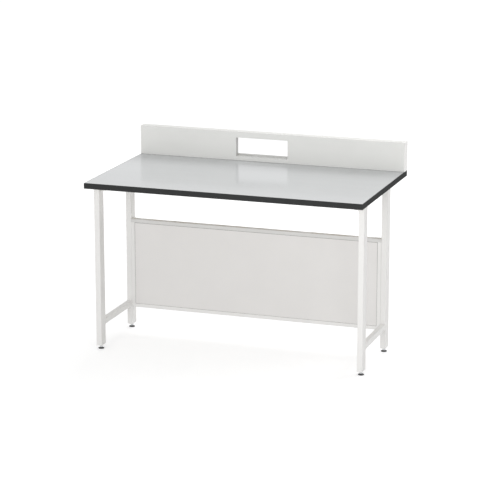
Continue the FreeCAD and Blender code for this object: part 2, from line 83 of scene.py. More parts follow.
BEAD_LEG = 3.2 * MM              # weld fillet along the top and underside of a tube
BEAD_FLUSH = 0.7 * MM            # how far a bead stands out where two faces are flush
BEAD_RIPPLE = 2.4 * MM           # spacing of the ripples along a bead
TUBE_RADIUS = 3.0 * MM           # outer corners of legs, arms and stretchers
SHADE_BEAD_TOP = 1.9 * MM              # half width of the dark bead of painted shade along the top of the panel sheet and along its foot
SHADE_BEAD_FOOT = 1.1 * MM             # and along its foot
UPSTAND_SHADE_START = 100 * MM            # Y where the painted shade towards the upstand's foot begins on the worktop
UPSTAND_SHADE_END = 380 * MM              # Y where it is at its full strength
UPSTAND_SHADE_STRENGTH = 0.15             # share of the laminate's lightness that it takes there

SIDES = {"left": -1, "right": 1}  # where each side lies along X
ENDS = ("front", "rear")
PLACES = [f"{end}_{side}" for end in ENDS for side in SIDES]


# ---------------------------------------------------------------- surfaces
def around(count):
    """Angles of count points once round a circle."""
    return np.arange(count) * 2 * math.pi / count


def shell(rings, looped=False):
    """A closed surface through rings, an array (ring, point on it, xyz).

    Neighbouring rings are joined by quads. The last ring joins the first if looped; otherwise a
    fan to its own middle closes each end. The faces are turned so that the enclosed volume, the
    sum of a . (b x c) over the triangles, is positive, which points them outwards.
    """
    count, points_round = rings.shape[:2]
    points = rings.reshape(-1, 3)
    row = np.arange(count if looped else count - 1)[:, None] * points_round
    column = np.arange(points_round)[None, :]
    after = (column + 1) % points_round
    above = (row + points_round) % (count * points_round)
    quads = np.stack([row + column, row + after, above + after, above + column], -1).reshape(-1, 4)
    fans = np.zeros((0, 3), int)
    if not looped:
        points = np.vstack([points, rings[0].mean(0), rings[-1].mean(0)])
        near, far = column[0], after[0]
        last = (count - 1) * points_round
        middle = np.full(points_round, count * points_round)
        fans = np.vstack([np.stack([middle, far, near], 1),
                          np.stack([middle + 1, last + near, last + far], 1)])
    corners = points[np.vstack([quads[:, :3], quads[:, [0, 2, 3]], fans])]
    if np.einsum("ij,ij->", corners[:, 0], np.cross(corners[:, 1], corners[:, 2])) < 0:
        quads, fans = quads[:, ::-1], fans[:, ::-1]
    return points, quads, fans


def turned(profile, angles):
    """Rings (r cos a, r sin a, h), one for each (r, h) of the profile; both may vary with a."""
    return np.array([np.stack(np.broadcast_arrays(r * np.cos(angles), r * np.sin(angles), h), -1)
                     for r, h in profile])


def placed(rings, origin, axis=(0, 0, 1)):
    """Rings turned so that their own Z runs along axis, one of the six main directions."""
    up = np.array(axis, float)
    across = np.array([0.0, 1, 0]) if abs(up[0]) > 0.5 else np.array([1.0, 0, 0])
    return (np.array(origin, float) + rings[..., :1] * across
            + rings[..., 1:2] * np.cross(up, across) + rings[..., 2:] * up)


def centre_of(node):
    """Middle of a CAD node's box."""
    low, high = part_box(node)
    return np.array((low + high) / 2)


def turned_on(node, profile, angles, looped=False):
    """The surface of a profile (r, height above the floor) turned about a node's upright axis."""
    x, y, _ = centre_of(node)
    return shell(placed(turned(profile, angles), (x, y, 0)), looped)


def hexagon(flats, angles):
    """Distance of a hexagon's side along each angle: half its width over flats, divided by the
    cosine of the angle from the middle of the nearest flat. Its corners are at 0, 60, 120 ..."""
    return flats / 2 / np.cos(angles % (math.pi / 3) - math.pi / 6)


def cross(reach, half_width, angles):
    """Distance of a cross-shaped recess's wall along each angle: the nearer of the end of an arm
    and the side of that arm."""
    off = np.abs((angles + math.pi / 4) % (math.pi / 2) - math.pi / 4)
    return np.minimum(reach / np.cos(off), half_width / np.maximum(np.sin(off), 1e-6))


def rounded_rectangle(half_width, half_height, radius, per_corner=8):
    """Points round a rectangle whose corners are arcs, as an array (point, 2), anticlockwise."""
    sweep = np.linspace(0, math.pi / 2, per_corner)
    corners = [(1, 1), (-1, 1), (-1, -1), (1, -1)]
    return np.vstack([np.stack([
        x * (half_width - radius) + radius * np.cos(sweep + turn * math.pi / 2),
        y * (half_height - radius) + radius * np.sin(sweep + turn * math.pi / 2)], 1)
        for turn, (x, y) in enumerate(corners)])


def evenly(path, spacing, closed=False):
    """Points evenly along the path, about spacing apart, and how far each is from its start."""
    path = np.vstack([path, path[:1]]) if closed else path
    distance = np.concatenate([[0], np.cumsum(np.linalg.norm(np.diff(path, axis=0), axis=1))])
    count = max(int(distance[-1] / spacing), 4)
    at = np.linspace(0, distance[-1], count, endpoint=not closed)
    return np.stack([np.interp(at, distance, values) for values in path.T], 1), at


def right_of(steps):
    """Unit vectors on the right of steps in a plane, at right angles to them. Along a path that
    runs anticlockwise they point outwards."""
    steps = steps / np.linalg.norm(steps, axis=1, keepdims=True)
    return np.stack([steps[:, 1], -steps[:, 0]], 1)


def outward_from(outline):
    """Unit vectors out of a closed anticlockwise outline, at right angles to the line between the
    neighbours of each point."""
    return right_of(np.roll(outline, -1, 0) - np.roll(outline, 1, 0))


def carried_round(outline, middle, out, along):
    """Rings of a bead carried round a closed outline that stands in XZ about middle: each point
    lies out from the outline by out, and along Y from middle by along."""
    normal = outward_from(outline)
    rings = np.empty((*out.shape, 3))
    rings[..., 0] = middle[0] + outline[:, :1] + normal[:, :1] * out
    rings[..., 1] = middle[1] + along
    rings[..., 2] = middle[2] + outline[:, 1:] + normal[:, 1:] * out
    return rings


def piece(name, shells, slot, body, crease=32.0, finish=None):
    """One object from closed shells, smooth except along edges sharper than crease degrees. Its
    finish is the slot's, unless another is named."""
    points, faces, start = [], [], 0
    for corners, quads, fans in shells:
        points += corners.tolist()
        faces += (quads + start).tolist() + (fans + start).tolist()
        start += len(corners)
    mesh = bpy.data.meshes.new(name)
    mesh.from_pydata(points, [], faces)
    mesh.polygons.foreach_set("use_smooth", [True] * len(faces))
    mesh.set_sharp_from_angle(angle=math.radians(crease))
    mesh.materials.append(FINISHES[finish or slot])
    obj = bpy.data.objects.new(name, mesh)
    bpy.context.scene.collection.objects.link(obj)
    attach(obj, body)
    return obj


# ---------------------------------------------------------------- node trees
def linear(red, green, blue):
    """A display colour in 0 to 255 as the linear RGBA that sockets take."""
    values = np.array([red, green, blue]) / 255
    values = np.where(values <= 0.04045, values / 12.92, ((values + 0.055) / 1.055) ** 2.4)
    return (*values.tolist(), 1.0)


def add(tree, kind, inputs=(), **settings):
    """A shader node with its settings made and its inputs linked from sockets or set to values."""
    made = tree.nodes.new("ShaderNode" + kind)
    for key, value in settings.items():
        setattr(made, key, value)
    for key, value in dict(inputs).items():
        if isinstance(value, bpy.types.NodeSocket):
            tree.links.new(value, made.inputs[key])
        else:
            made.inputs[key].default_value = value
    return made


def set_inputs(node, values):
    """The node with its inputs set by name. A name's _ stands for a space."""
    for key, value in values.items():
        node.inputs[key.replace("_", " ")].default_value = value
    return node


def maths(tree, operation, first, second=0.0, clamp=False):
    """One Math node's result."""
    return add(tree, "Math", {0: first, 1: second}, operation=operation, use_clamp=clamp).outputs[0]


def plus(tree, value, share, extra):
    """value + share x extra."""
    return maths(tree, "ADD", value, maths(tree, "MULTIPLY", extra, share))


def product(tree, first, second, third):
    """The product of three values, held within 0...1."""
    return maths(tree, "MULTIPLY", maths(tree, "MULTIPLY", first, second), third, True)


def spread(tree, value, low, high, to_low, to_high, **settings):
    """value mapped from low...high to to_low...to_high and held within it."""
    made = add(tree, "MapRange", {"Value": value, "From Min": low, "From Max": high,
                                  "To Min": to_low, "To Max": to_high}, **settings)
    return made.outputs["Result"]


def swing(tree, value, to_low, to_high):
    """A noise mapped to to_low...to_high from 0.3...0.7, where nearly all of it lies."""
    return spread(tree, value, 0.3, 0.7, to_low, to_high)


def noise(tree, place, scale, detail=2.0, roughness=0.5):
    """A noise of 0...1 with about scale patches to the metre."""
    return add(tree, "TexNoise", {"Vector": place, "Scale": scale, "Detail": detail,
                                  "Roughness": roughness}).outputs["Fac"]


def object_place(tree):
    """Object coordinates, which are metres in the bench's own frame."""
    return add(tree, "TexCoord").outputs["Object"]


def stretched(tree, place, **settings):
    """Coordinates turned and scaled, for a pattern that runs one way."""
    return set_inputs(add(tree, "Mapping", {"Vector": place}), settings).outputs[0]


def blend_colour(tree, factor, first, second, mode="MIX"):
    """factor of the second colour over the first; either may be a socket or an RGBA."""
    made = add(tree, "Mix", {"Factor": factor, 6: first, 7: second}, data_type="RGBA",
               blend_type=mode)
    return made.outputs[2]


def lightened(tree, colour, tone):
    """colour with its three channels multiplied by the number tone."""
    grey = add(tree, "CombineColor", {0: tone, 1: tone, 2: tone}).outputs[0]
    return blend_colour(tree, 1.0, colour, grey, "MULTIPLY")


# ---------------------------------------------------------------- effects that finishes share
def effect(name, inputs, outputs):
    """An empty shader node group with named float inputs and outputs: (tree, inputs, outputs)."""
    tree = bpy.data.node_groups.new(name, "ShaderNodeTree")
    for label, default in inputs.items():
        socket = tree.interface.new_socket(label, in_out="INPUT", socket_type="NodeSocketFloat")
        socket.default_value = default
    for label in outputs:
        tree.interface.new_socket(label, in_out="OUTPUT", socket_type="NodeSocketFloat")
    return tree, tree.nodes.new("NodeGroupInput").outputs, tree.nodes.new("NodeGroupOutput").inputs


def use(tree, group, **values):
    """Places a group in a material and gives its outputs."""
    made = tree.nodes.new("ShaderNodeGroup")
    made.node_tree = group
    return set_inputs(made, values).outputs


def make_edge_wear():
    """Mask of the edges, from the cosine between the true normal and one rounded over Width: it
    is 0 at a cosine of 1 and full at 0.8, broken up by a fine noise, times Strength."""
    tree, given, gives = effect("edge wear", {"Width": 0.001, "Strength": 1.0}, ["Mask"])
    rounded = add(tree, "Bevel", {"Radius": given["Width"]}, samples=4).outputs["Normal"]
    true = add(tree, "NewGeometry").outputs["Normal"]
    same = add(tree, "VectorMath", {0: rounded, 1: true}, operation="DOT_PRODUCT").outputs["Value"]
    bent = spread(tree, same, 1.0, 0.8, 0.0, 1.0)
    patches = spread(tree, noise(tree, object_place(tree), 90.0, 3.0), 0.35, 0.65, 0.4, 1.0)
    tree.links.new(product(tree, bent, patches, given["Strength"]), gives["Mask"])
    return tree


def make_dust():
    """Mask of settled dust: it lies on faces that look up, in patches as broad as a hand."""
    tree, given, gives = effect("dust", {"Amount": 0.2}, ["Mask"])
    normal = add(tree, "NewGeometry").outputs["Normal"]
    rise = spread(tree, add(tree, "SeparateXYZ", {0: normal}).outputs["Z"], 0.4, 1.0, 0.0, 1.0)
    patches = spread(tree, noise(tree, object_place(tree), 14.0, 4.0, 0.6), 0.35, 0.7, 0.2, 1.0)
    tree.links.new(product(tree, rise, patches, given["Amount"]), gives["Mask"])
    return tree


def make_orange_peel():
    """The rippled skin of a baked coat: Height, the ripples that a Bump takes, and Tone, slow
    changes of the coat's lightness around 1."""
    tree, given, gives = effect("orange peel", {"Ripple Scale": 900.0, "Tone Range": 0.02},
                                ["Height", "Tone"])
    place = object_place(tree)
    tree.links.new(noise(tree, place, given["Ripple Scale"], 1.5), gives["Height"])
    slow = swing(tree, noise(tree, place, 5.0, 3.0, 0.55), -1.0, 1.0)
    tree.links.new(plus(tree, 1.0, given["Tone Range"], slow), gives["Tone"])
    return tree


def make_speckle():
    """Fine flecks: how far each small cell of a Voronoi pattern is from mid grey, -1 to 1."""
    tree, given, gives = effect("speckle", {"Scale": 1800.0}, ["Fleck"])
    cells = add(tree, "TexVoronoi", {"Vector": object_place(tree), "Scale": given["Scale"]})
    value = add(tree, "SeparateColor", {0: cells.outputs["Color"]}).outputs[0]
    tree.links.new(spread(tree, value, 0.0, 1.0, -1.0, 1.0), gives["Fleck"])
    return tree


EDGE_WEAR = make_edge_wear()
DUST = make_dust()
ORANGE_PEEL = make_orange_peel()
SPECKLE = make_speckle()


# ---------------------------------------------------------------- finishes
def start_material(name, **plain):
    """A new material and its tree, with plain values set on its shader's own sockets."""
    material = bpy.data.materials.new(name)
    material.use_nodes = True
    set_inputs(material.node_tree.nodes["Principled BSDF"], plain)
    return material, material.node_tree


def finished(material, colour, roughness, height, depth):
    """The material with its shader's Base Color and Roughness linked, and its Normal linked to a
    Bump node that raises height by depth metres."""
    tree = material.node_tree
    shader = tree.nodes["Principled BSDF"]
    bump = add(tree, "Bump", {"Height": height, "Distance": depth}).outputs[0]
    for name, value in (("Base Color", colour), ("Roughness", roughness), ("Normal", bump)):
        tree.links.new(value, shader.inputs[name])
    return material


def powder_coat(name, colour, thin, roughness, ripple, settled):
    """Baked coat: orange-peel skin, slightly darker where it runs thin over the edges, with as
    much dust as has settled on what looks up."""
    material, tree = start_material(name)
    peel = use(tree, ORANGE_PEEL, Ripple_Scale=ripple, Tone_Range=0.012)
    edges = use(tree, EDGE_WEAR, Width=1.2 * MM, Strength=0.5)["Mask"]
    dust = use(tree, DUST, Amount=settled)["Mask"]
    coat = blend_colour(tree, edges, linear(*colour), linear(*thin))
    coat = lightened(tree, coat, peel["Tone"])
    coat = blend_colour(tree, dust, coat, linear(205, 200, 190))
    satin = swing(tree, peel["Height"], roughness - 0.04, roughness + 0.04)
    return finished(material, coat, plus(tree, satin, 0.5, dust), peel["Height"], 0.04 * MM)


def moulded(name, colour, rubbed, roughness):
    """Moulded plastic: the sparked texture of the tool, lighter where its edges are rubbed, and
    dust on what looks up."""
    material, tree = start_material(name)
    place = object_place(tree)
    spark = noise(tree, place, 2200.0, 2.0, 0.7)
    edges = use(tree, EDGE_WEAR, Width=0.8 * MM, Strength=0.6)["Mask"]
    dust = use(tree, DUST, Amount=0.16)["Mask"]
    plastic = blend_colour(tree, edges, linear(*colour), linear(*rubbed))
    plastic = lightened(tree, plastic, swing(tree, noise(tree, place, 70.0, 3.0), 0.93, 1.05))
    plastic = blend_colour(tree, dust, plastic, linear(190, 184, 174))
    matt = swing(tree, spark, roughness - 0.05, roughness + 0.07)
    return finished(material, plastic, matt, spark, 0.06 * MM)


def laminate():
    """Grey high-pressure laminate: fine flecks, a satin skin, faint wipe marks, and painted shade
    that darkens it more and more towards the foot of the upstand."""
    material, tree = start_material("laminate", Specular_IOR_Level=0.22)
    place = object_place(tree)
    fleck = use(tree, SPECKLE, Scale=1400.0)["Fleck"]
    strokes = stretched(tree, place, Rotation=(0, 0, 0.4), Scale=(1.0, 7.0, 1.0))
    wipes = noise(tree, strokes, 3.0, 5.0, 0.6)
    back = add(tree, "SeparateXYZ", {0: place}).outputs["Y"]
    # painted shade: the laminate grows darker towards the foot of the upstand
    upstand_shade = spread(tree, back, UPSTAND_SHADE_START, UPSTAND_SHADE_END, 0.0, UPSTAND_SHADE_STRENGTH,
                  interpolation_type="SMOOTHSTEP")
    tone = plus(tree, 1.0, 0.03, fleck)
    tone = maths(tree, "ADD", tone, spread(tree, wipes, 0.35, 0.65, -0.008, 0.008))
    tone = maths(tree, "SUBTRACT", tone, upstand_shade)
    satin = plus(tree, swing(tree, wipes, 0.115, 0.145), 0.015, fleck)
    skin = plus(tree, noise(tree, place, 1600.0), 0.2, fleck)
    return finished(material, lightened(tree, linear(217, 219, 220), tone), satin, skin, 0.02 * MM)


def edge_band():
    """Black plastic edging: lines of the scraper along it, lightened where it is rubbed."""
    material, tree = start_material("edge_band", Specular_IOR_Level=0.04)
    along = stretched(tree, object_place(tree), Scale=(2.0, 2.0, 260.0))
    lines = noise(tree, along, 4.0, 3.0, 0.6)
    edges = use(tree, EDGE_WEAR, Width=1.0 * MM, Strength=0.8)["Mask"]
    black = lightened(tree, linear(58, 59, 59), swing(tree, lines, 0.88, 1.12))
    black = blend_colour(tree, edges, black, linear(92, 93, 94))
    return finished(material, black, swing(tree, lines, 0.62, 0.74), lines, 0.04 * MM)


def backing():
    """Plain backing laminate: warm off-white, matt, with the cloudiness of impregnated paper."""
    material, tree = start_material("backing")
    place = object_place(tree)
    clouds = noise(tree, place, 18.0, 5.0, 0.65)
    fleck = use(tree, SPECKLE, Scale=900.0)["Fleck"]
    tone = plus(tree, swing(tree, clouds, 0.97, 1.02), 0.015, fleck)
    paper = lightened(tree, linear(218, 216, 211), tone)
    skin = noise(tree, place, 1100.0)
    return finished(material, paper, swing(tree, clouds, 0.52, 0.62), skin, 0.03 * MM)


def chipboard():
    """Raw chipboard: flakes of lighter and darker wood in irregular cells, with glue between."""
    material, tree = start_material("chipboard")
    place = object_place(tree)
    shift = add(tree, "TexNoise", {"Vector": place, "Scale": 60.0}).outputs["Color"]
    torn = add(tree, "VectorMath", {0: shift, "Scale": 0.012}, operation="SCALE").outputs["Vector"]
    bent = add(tree, "VectorMath", {0: place, 1: torn}, operation="ADD").outputs["Vector"]
    flakes = add(tree, "TexVoronoi", {"Vector": bent, "Scale": 260.0}).outputs
    shade = add(tree, "SeparateColor", {0: flakes["Color"]}).outputs[0]
    wood = blend_colour(tree, shade, linear(172, 132, 88), linear(222, 190, 146))
    glue = spread(tree, flakes["Distance"], 0.25, 0.7, 0.0, 0.6)
    wood = blend_colour(tree, glue, wood, linear(122, 88, 56))
    matt = spread(tree, shade, 0.0, 1.0, 0.75, 0.9)
    return finished(material, wood, matt, flakes["Distance"], 0.3 * MM)


def zinc_steel():
    """Bright zinc plate: small crystals that differ in tone and gloss, lighter along its edges."""
    material, tree = start_material("zinc_steel", Metallic=1.0)
    fleck = use(tree, SPECKLE, Scale=700.0)["Fleck"]
    smear = noise(tree, object_place(tree), 160.0, 4.0, 0.6)
    edges = use(tree, EDGE_WEAR, Width=0.5 * MM, Strength=0.7)["Mask"]
    tone = plus(tree, swing(tree, smear, 0.86, 1.04), 0.04, fleck)
    plate = lightened(tree, linear(220, 222, 224), tone)
    plate = blend_colour(tree, edges, plate, linear(236, 237, 238))
    satin = plus(tree, swing(tree, smear, 0.42, 0.28), 0.03, fleck)
    return finished(material, plate, satin, smear, 0.03 * MM)


COATS = {
    # name: (colour, colour where it runs thin, roughness, ripples to the metre, dust on it)
    "frame_coat": ((238, 237, 235), (226, 225, 223), 0.38, 700.0, 0.1),
    "panel_coat": ((232, 230, 228), (221, 219, 217), 0.42, 700.0, 0.1),
    # the next coat is painted shade for the panel frame's top rail under the worktop: darker than
    # the frame's coat, with extra dust
    "rail_top_shade_coat": ((219, 218, 216), (208, 207, 205), 0.38, 700.0, 1.2),
    "upstand_coat": ((235, 235, 232), (225, 225, 222), 0.40, 650.0, 0.1),
    # the next coat is painted light for the end caps: lighter than the frame's coat, standing in
    # for the light that falls on them
    "cap_lit_coat": ((250, 249, 247), (238, 237, 235), 0.40, 650.0, 0.1),
    # the next coat is painted shade for the window's recess: darker than the upstand's coat
    "liner_shade_coat": ((193, 193, 191), (183, 183, 181), 0.42, 650.0, 0.1),
}
PLASTICS = {
    # name: (colour, colour where it is rubbed, roughness)
    "foot_plastic": ((68, 69, 71), (104, 105, 107), 0.5),
    "plug_plastic": ((222, 222, 220), (232, 232, 230), 0.42),
    # the next plastic is the dark grey of the bead of painted shade round the panel sheet
    "shade_bead": ((112, 112, 111), (124, 124, 122), 0.55),
}
FINISHES = {
    **{name: powder_coat(name, *values) for name, values in COATS.items()},
    **{name: moulded(name, *values) for name, values in PLASTICS.items()},
    "laminate": laminate(),
    "edge_band": edge_band(),
    "backing": backing(),
    "chipboard": chipboard(),
    "zinc_steel": zinc_steel(),
}
OWN_FINISH = {
    # node: a finish that isn't plainly its slot's
    # the top rail takes a darker coat, painted shade under the worktop
    "panel_rail_top": "rail_top_shade_coat",
    # the window's liner takes a darker coat, painted shade in the recess
    "window_liner": "liner_shade_coat",
    # the end caps take a lighter coat, painted light
    "upstand_end_cap_left": "cap_lit_coat",
    "upstand_end_cap_right": "cap_lit_coat",
}
for name, node in frame["nodes"].items():
    for place in node.material_slots:
        place.material = FINISHES[OWN_FINISH.get(name, place.material.name.split(".")[0])]


# ---------------------------------------------------------------- fasteners
def solids_of(node):
    """The corners of each separate solid in a CAD node, as arrays: corners that share a triangle
    take the lowest of their labels, over and over, until no label changes."""
    mesh = frame["nodes"][node].data
    corners = np.empty(len(mesh.vertices) * 3)
    mesh.vertices.foreach_get("co", corners)
    faces = np.empty(len(mesh.loops), int)
    mesh.loops.foreach_get("vertex_index", faces)
    places, same = np.unique(corners.reshape(-1, 3).round(6), axis=0, return_inverse=True)
    triangles = same.ravel()[faces].reshape(-1, 3)
    label = np.arange(len(places))
    while True:
        lower = label.copy()
        for corner in range(3):
            np.minimum.at(lower, triangles[:, corner], label[triangles].min(1))
        if (lower == label).all():
            return [places[label == one] for one in np.unique(label)]
        label = lower


def fastener_frame(corners):
    """Where a headed screw sits: (middle of its seat, direction out of the head, head radius, head
    height, shank radius, shank length). Its axis is its longest side, and the head is where the
    corners lie furthest from that axis."""
    low, high = corners.min(0), corners.max(0)
    along = int((high - low).argmax())
    middle = (low + high) / 2
    off = corners - middle
    off[:, along] = 0
    distance = np.linalg.norm(off, axis=1)
    wide = corners[distance > 0.95 * distance.max(), along]
    outward = 1 if wide.mean() > middle[along] else -1
    seat = wide.min() if outward > 0 else wide.max()
    tip = low[along] if outward > 0 else high[along]
    shank = distance[np.abs(corners[:, along] - tip) < 1e-5].max()
    middle[along] = seat
    axis = np.zeros(3)
    axis[along] = outward
    return middle, axis, distance.max(), np.ptp(wide), shank, abs(seat - tip)


def domed(head, top, height, steepness, steps):
    """Profile of a head's rounded side, from radius head in to radius top. At the share s of the
    way in, it is height x the square root of 1 - (1 - s) ^ steepness above the seat."""
    return [(head - (head - top) * share, height * math.sqrt(1 - (1 - share) ** steepness))
            for share in np.linspace(0.03, 1, steps)]


def socket_cap(corners):
    """Cap screw: a knurled drum with a broken edge and a hexagon socket."""
    seat, axis, head, height, shank, length = fastener_frame(corners)
    angles = around(3 * KNURLS)
    knurl = head * (1 - 0.012 * (1 + np.cos(KNURLS * angles)) / 2)
    inside = hexagon(head * 0.92, angles)
    profile = [(shank * 0.8, -length), (shank, -length + shank * 0.2), (shank, 0), (head * 0.96, 0),
               (knurl, height * 0.04), (knurl, height * 0.86), (head * 0.985, height * 0.9),
               (head * 0.93, height), (inside * 1.07, height), (inside, height * 0.97),
               (inside, height * 0.45)]
    return shell(placed(turned(profile, angles), seat, axis))


def button_head(corners):
    """Low domed screw with a hexagon socket in its flat middle."""
    seat, axis, head, height, shank, length = fastener_frame(corners)
    angles = around(72)
    inside = hexagon(head * 0.76, angles)
    profile = [(shank * 0.8, -length), (shank, -length + shank * 0.2), (shank, 0), (head, 0),
               *domed(head, head * 0.52, height, 2.2, 8), (inside * 1.04, height),
               (inside, height * 0.97), (inside, height * 0.4)]
    return shell(placed(turned(profile, angles), seat, axis))


def pan_head(corners):
    """Pan-head screw: steep rounded sides, a slightly crowned top and a tapering cross recess."""
    seat, axis, head, height, shank, length = fastener_frame(corners)
    angles = around(64)
    recess = cross(head * 0.55, head * 0.15, angles)
    profile = [(shank * 0.25, -length), (shank, -length + shank * 1.6), (shank, 0), (head, 0),
               *domed(head, head * 0.72, height * 0.94, 2.5, 6), (head * 0.6, height),
               (recess, height), (recess * 0.92, height * 0.94), (recess * 0.62, height * 0.35)]
    return shell(placed(turned(profile, angles), seat, axis))


def make_fasteners():
    """Screws with real heads in the places of the solids' plain ones."""
    for node, style in (("rail_bolts", socket_cap), ("panel_bolts", button_head),
                        ("panel_screws", pan_head), ("worktop_screws", pan_head),
                        ("upstand_screws", pan_head), ("cap_screws", pan_head)):
        made = piece(node + "_heads", [style(corners) for corners in solids_of(node)],
                     "zinc_steel", "bench")
        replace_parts(made, node)


# ---------------------------------------------------------------- levelling feet
def thread_radius(angles, height):
    """Radius of a right-hand thread: its phase rises by one for each pitch of height and falls by
    one for each turn, and the crest and root are flat between straight flanks."""
    phase = (height / THREAD_PITCH - angles / (2 * math.pi)) % 1
    ridge = np.clip(1.35 - 4 * np.abs(phase - 0.5), 0, 1)
    return STUD_RADIUS - THREAD_DEPTH * (1 - ridge)


def broken_hexagon(flats, low, high, angles):
    """Profile of a hexagon whose ends are cut by 30-degree cones, as on a turned nut: near an end
    the radius is the hexagon's or the cone's, whichever is less."""
    full = hexagon(flats, angles)
    steepness = math.tan(math.radians(60))
    lower = [(np.minimum(full, flats / 2 * 0.97 + rise * steepness), low + rise)
             for rise in np.linspace(0, 1.5, 7) * EDGE_BREAK]
    upper = [(radius, low + high - height) for radius, height in reversed(lower)]
    return lower + upper


def make_stud(place):
    """Levelling stud: plain end in the pad, hexagon collar for the spanner, and a rolled thread
    that grows out of its root over the first turn."""
    node = "foot_stud_" + place
    low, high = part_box(node)
    angles = around(48)
    root = STUD_RADIUS - THREAD_DEPTH
    plain = STUD_RADIUS - 0.1 * MM
    collar = COLLAR_FLATS / 2 * 0.9
    heights = np.arange(THREAD_START, THREAD_END, THREAD_PITCH / 6)
    grown = np.clip((heights - THREAD_START) / THREAD_PITCH, 0, 1)
    profile = [(STUD_RADIUS - 0.8 * MM, low.z), (plain, low.z + 0.8 * MM), (plain, COLLAR_LOW),
               (collar, COLLAR_LOW), *broken_hexagon(COLLAR_FLATS, COLLAR_LOW, COLLAR_HIGH, angles),
               (collar, COLLAR_HIGH), (root, COLLAR_HIGH)]
    profile += [(root + (thread_radius(angles, height) - root) * share, height)
                for height, share in zip(heights, grown)]
    profile += [(root, THREAD_END), (root - 0.3 * MM, high.z)]
    made = piece("stud_" + place, [turned_on(node, profile, angles)], "zinc_steel",
                 place + "_stud", crease=50)
    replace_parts(made, node)


def make_lock_nut(place):
    """Thin nut under the leg: hexagon with coned ends and a bore with broken edges."""
    node = "lock_nut_" + place
    low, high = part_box(node)
    flats = high.y - low.y
    face = flats / 2 * 0.93
    bore = STUD_RADIUS + SOCKET_PLAY
    mouth = bore + 0.5 * MM
    angles = around(72)
    profile = [(bore, low.z + 0.6 * MM), (mouth, low.z), (face, low.z),
               *broken_hexagon(flats, low.z, high.z, angles),
               (face, high.z), (mouth, high.z), (bore, high.z - 0.6 * MM)]
    made = piece("nut_" + place, [turned_on(node, profile, angles, looped=True)], "zinc_steel",
                 "bench")
    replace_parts(made, node)


def make_pad(place):
    """Foot pad: rounded rim, a slope with shallow ribs that rises to a hub, and a blind socket."""
    node = "foot_pad_" + place
    low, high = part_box(node)
    radius, top = (high.x - low.x) / 2, high.z - HUB_DROP
    angles = around(10 * FOOT_RIBS)
    socket = STUD_RADIUS + SOCKET_PLAY
    below, above = 1.2 * MM, 0.9 * MM                # radii of the rim's two rounded edges
    quarter = np.linspace(0, math.pi / 2, 5)
    rim = [(radius - below + below * math.sin(turn), below - below * math.cos(turn))
           for turn in quarter]
    rim += [(radius - above + above * math.cos(turn), 3.1 * MM + above * math.sin(turn))
            for turn in quarter]
    rib = (0.5 + 0.5 * np.cos(FOOT_RIBS * angles)) ** 3 * 0.45 * MM
    start, end = radius - 1.5 * MM, HUB_RADIUS + 1.2 * MM
    slope = [(start + (end - start) * share,
              4.0 * MM + 1.2 * MM * share ** 1.3 + rib * math.sin(math.pi * share) ** 0.5)
             for share in np.linspace(0, 1, 7)]
    hub = [(HUB_RADIUS + 0.35 * MM, 5.7 * MM), (HUB_RADIUS, 6.2 * MM),
           (HUB_RADIUS - 0.2 * MM, top - 0.15 * MM), (HUB_RADIUS - 0.6 * MM, top)]
    profile = [(radius - 4.0 * MM, 0.6 * MM), (radius - 3.4 * MM, 0), *rim, *slope, *hub,
               (socket + 0.5 * MM, top), (socket, top - 0.5 * MM), (socket, SOCKET_FLOOR)]
    made = piece("pad_" + place, [turned_on(node, profile, angles)], "foot_plastic",
                 place + "_pad")
    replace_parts(made, node)


# ---------------------------------------------------------------- plugs in the arms' ends
def make_arm_plug(place):
    """Square plug: a stub inside the tube, and a head with rounded edges and a dished middle. Its
    rings are rounded squares, each set in from the head's side and back from its face."""
    node = "arm_plug_" + place
    low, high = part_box(node)
    outward = -1 if place.startswith("front") else 1
    face = low.y if outward < 0 else high.y
    half, length = (high.x - low.x) / 2, high.y - low.y
    centre = centre_of(node)
    head = 2.0 * MM
    edge = 0.9 * MM
    stub = 2.1 * MM                                  # how far the stub is set in
    steps = [(stub + 0.8 * MM, length), (stub, length - 1.0 * MM), (stub, head), (0.0, head)]
    steps += [(edge * (1 - math.cos(turn)), edge * (1 - math.sin(turn)))
              for turn in np.linspace(0, math.pi / 2, 5)]
    steps += [(3.6 * MM, 0.0), (4.2 * MM, 0.35 * MM), (8.0 * MM, 0.45 * MM)]
    rings = []
    for inset, behind in steps:
        size = half - inset
        outline = rounded_rectangle(size, size, max(TUBE_RADIUS - inset, 0.8 * MM))
        depth = np.full(len(outline), face - outward * behind)
        rings.append(np.stack([centre[0] + outline[:, 0], depth, centre[2] + outline[:, 1]], 1))
    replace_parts(piece("plug_" + place, [shell(np.array(rings))], "plug_plastic", "bench"), node)


# ---------------------------------------------------------------- painted shade round the panel sheet
def make_shade_bead():
    """Dark grey bead of painted shade in the joint between the panel sheet and its frame: an
    ellipse carried round the sheet's outline, whose front fills the groove. Its half width grows
    evenly from the foot of the sheet to its top, and two sine waves along it make it waver."""
    low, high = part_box("panel_tray")
    half_width, half_height = (high.x - low.x) / 2, (high.z - low.z) / 2
    centre = centre_of("panel_tray")
    outline, at = evenly(rounded_rectangle(half_width, half_height, 1.5 * MM), 5 * MM, closed=True)
    rise = (outline[:, 1] / half_height + 1) / 2
    waver = 1 + 0.04 * np.sin(at / (31 * MM)) + 0.03 * np.sin(at / (12.3 * MM))
    width = ((SHADE_BEAD_FOOT + (SHADE_BEAD_TOP - SHADE_BEAD_FOOT) * rise) * waver)[:, None]
    turn = around(12)
    out = width * np.cos(turn) - 0.3 * MM
    along = -(0.7 * MM + 0.5 * width) * np.sin(turn)
    middle = (centre[0], low.y + 1.9 * MM, centre[2])
    piece("panel_shade_bead", [shell(carried_round(outline, middle, out, along), looped=True)],
          "plug_plastic", "bench", crease=60, finish="shade_bead")


